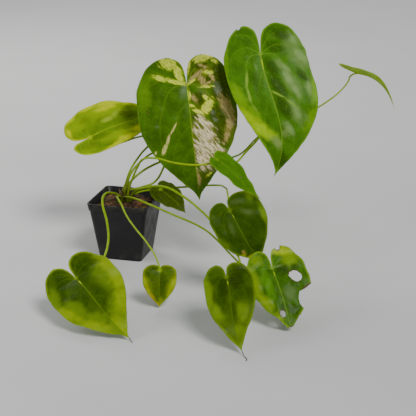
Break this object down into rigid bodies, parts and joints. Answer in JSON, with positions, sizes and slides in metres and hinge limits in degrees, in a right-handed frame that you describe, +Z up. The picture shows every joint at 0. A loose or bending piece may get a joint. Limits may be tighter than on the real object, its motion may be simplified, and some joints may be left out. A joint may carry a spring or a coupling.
{
  "type": "potted anthurium",
  "caption": "Potted anthurium with long thin stalks and large heart-shaped leaves, some upright and some hanging, in a square black nursery pot filled with bark mix.",
  "frame": {"origin": "centre of the pot's flat base, on the surface that it stands on", "axes": "+Z up; X and Y square to the pot's sides; the viewer of the picture looks along a line 15 degrees from +Y, with most leaves to the right and in front of the pot"},
  "size_m": [0.5255, 0.4796, 0.3692],
  "materials": {
    "pot_plastic": "satin",
    "bark_mix": "matte",
    "green_stem": "matte",
    "lime_leaf": "satin",
    "variegated_leaf": "gloss",
    "green_leaf": "satin",
    "dark_leaf": "satin"
  },
  "bodies": {
    "root": {"pot": "pot_plastic", "potting_mix": "bark_mix", "stem_and_roots": "green_stem", "leaf_left_lime": "lime_leaf", "leaf_cream_variegated": "variegated_leaf", "leaf_tall_green": "green_leaf", "leaf_far_right": "green_leaf", "leaf_narrow": "green_leaf", "leaf_satin": "dark_leaf", "leaf_torn": "green_leaf", "leaf_right_hanging": "green_leaf", "leaf_front_left": "green_leaf", "leaf_shield": "green_leaf", "leaf_small_dark": "dark_leaf"}
  },
  "joints": []
}
